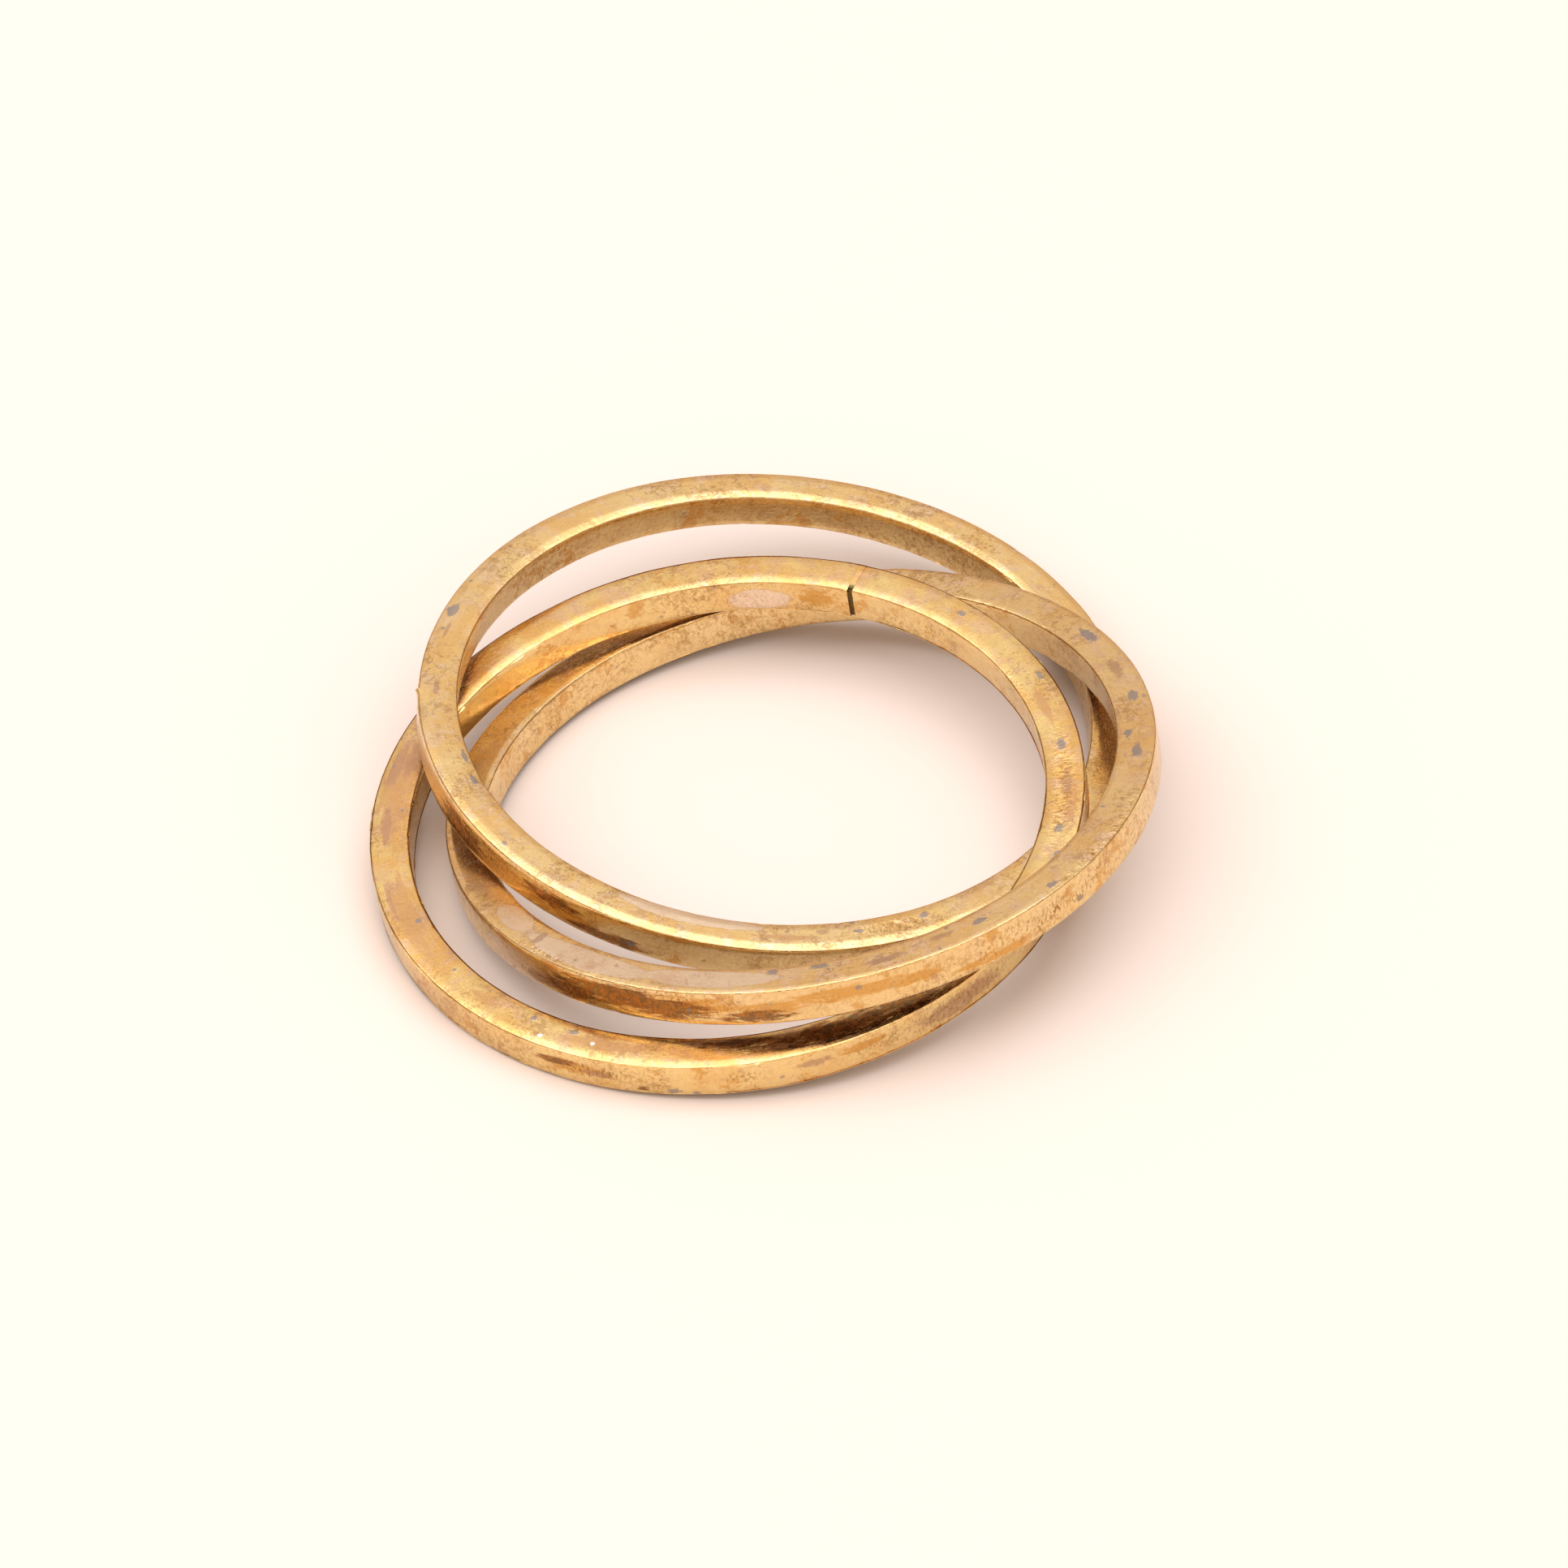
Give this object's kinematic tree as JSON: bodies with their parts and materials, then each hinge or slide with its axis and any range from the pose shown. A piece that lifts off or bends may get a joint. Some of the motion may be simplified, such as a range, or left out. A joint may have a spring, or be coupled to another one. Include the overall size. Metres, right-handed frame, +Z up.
{
  "type": "rolling puzzle ring",
  "caption": "Rolling puzzle ring of equal plain finger bands linked through one another, each bent from square wire and soldered shut, lying fanned out on a table.",
  "frame": {"origin": "on the plane that the set lies on, under the middle of its bounding box", "axes": "+Z up, +Y from the front band towards the back band, +X towards the side where the right band stands highest"},
  "size_m": [0.022, 0.0238, 0.0038],
  "materials": {
    "band_metal": "satin, worn bright on the corners, with brown and blue-grey tarnish",
    "solder_metal": "dull, darkened hard solder"
  },
  "bodies": {
    "front_band": {"front_band": "band_metal", "front_band_solder": "solder_metal"},
    "right_band": {"right_band": "band_metal", "right_band_solder": "solder_metal"},
    "back_band": {"back_band": "band_metal", "back_band_solder": "solder_metal"}
  },
  "joints": [
    {"name": "right_band_spin", "type": "hinge", "parent": "front_band", "child": "right_band", "pos_m": [0.00106, -0.00133, 0.00191], "axis": [-0.1041, 0.0871, 0.9907], "continuous": true},
    {"name": "back_band_spin", "type": "hinge", "parent": "front_band", "child": "back_band", "pos_m": [0.00041, 0.00192, 0.00186], "axis": [0.1204, -0.0504, 0.9914], "continuous": true}
  ]
}
